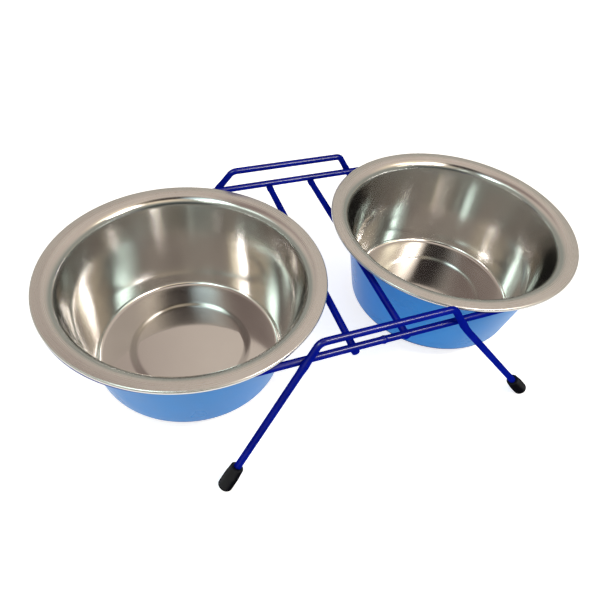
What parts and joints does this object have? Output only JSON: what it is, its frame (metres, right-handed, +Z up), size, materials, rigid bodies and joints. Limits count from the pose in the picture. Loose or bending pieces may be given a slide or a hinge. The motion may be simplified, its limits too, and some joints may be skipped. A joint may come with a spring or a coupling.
{
  "type": "double pet bowl",
  "caption": "Raised pet feeder: steel bowls with wide rims and painted outsides hang side by side in a low bent-wire stand with splayed, capped legs, and lift straight out.",
  "frame": {"origin": "on the floor under the middle of the stand", "axes": "+X along the row of bowls, +Z up, the front of the stand faces -Y"},
  "size_m": [0.347, 0.1998, 0.0895],
  "materials": {
    "stand_paint": "glossy ultramarine coat on steel wire",
    "foot_vinyl": "dull black dipped vinyl",
    "bowl_steel": "satin rim, polished inside",
    "bowl_paint": "glossy sky blue coat on the outside of the bowls"
  },
  "bodies": {
    "stand": {"loop_wire": "stand_paint", "front_leg_wire": "stand_paint", "rear_leg_wire": "stand_paint", "left_cross_bar": "stand_paint", "right_cross_bar": "stand_paint", "front_left_foot_cap": "foot_vinyl", "front_right_foot_cap": "foot_vinyl", "rear_left_foot_cap": "foot_vinyl", "rear_right_foot_cap": "foot_vinyl"},
    "left_bowl": {"left_bowl": "bowl_steel"},
    "right_bowl": {"right_bowl": "bowl_steel"}
  },
  "joints": [
    {"name": "left_bowl_lift", "type": "slide", "parent": "stand", "child": "left_bowl", "axis": [0, 0, 1], "range_m": [0, 0.095]},
    {"name": "right_bowl_lift", "type": "slide", "parent": "stand", "child": "right_bowl", "axis": [0, 0, 1], "range_m": [0, 0.095]}
  ]
}
